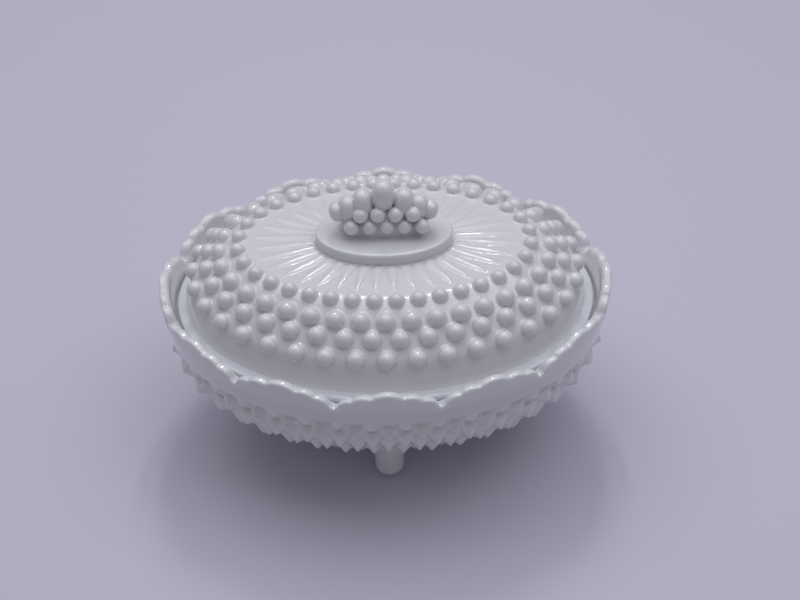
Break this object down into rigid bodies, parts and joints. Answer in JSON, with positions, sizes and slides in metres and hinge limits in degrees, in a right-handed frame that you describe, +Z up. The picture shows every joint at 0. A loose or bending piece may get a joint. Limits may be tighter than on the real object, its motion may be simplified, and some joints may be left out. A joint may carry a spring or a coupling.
{
  "type": "covered candy dish",
  "caption": "Oval covered dish of pressed opal glass with a scalloped beaded rim, raised bosses, peg feet and a lift-off domed lid.",
  "frame": {"origin": "on the surface the dish stands on, under the middle of the oval", "axes": "+Z up, the way the lid lifts off; X along the length of the oval; the dish is the same seen from +Y and from -Y"},
  "size_m": [0.218, 0.172, 0.1465],
  "materials": {
    "dish_glass": "glossy opaque white opal glass",
    "lid_glass": "glossy opaque white opal glass"
  },
  "bodies": {
    "dish": {"dish": "dish_glass"},
    "lid": {"lid": "lid_glass"}
  },
  "joints": [
    {"name": "lid_lift", "type": "slide", "parent": "dish", "child": "lid", "axis": [0, 0, 1], "range_m": [0, 0.1]}
  ]
}
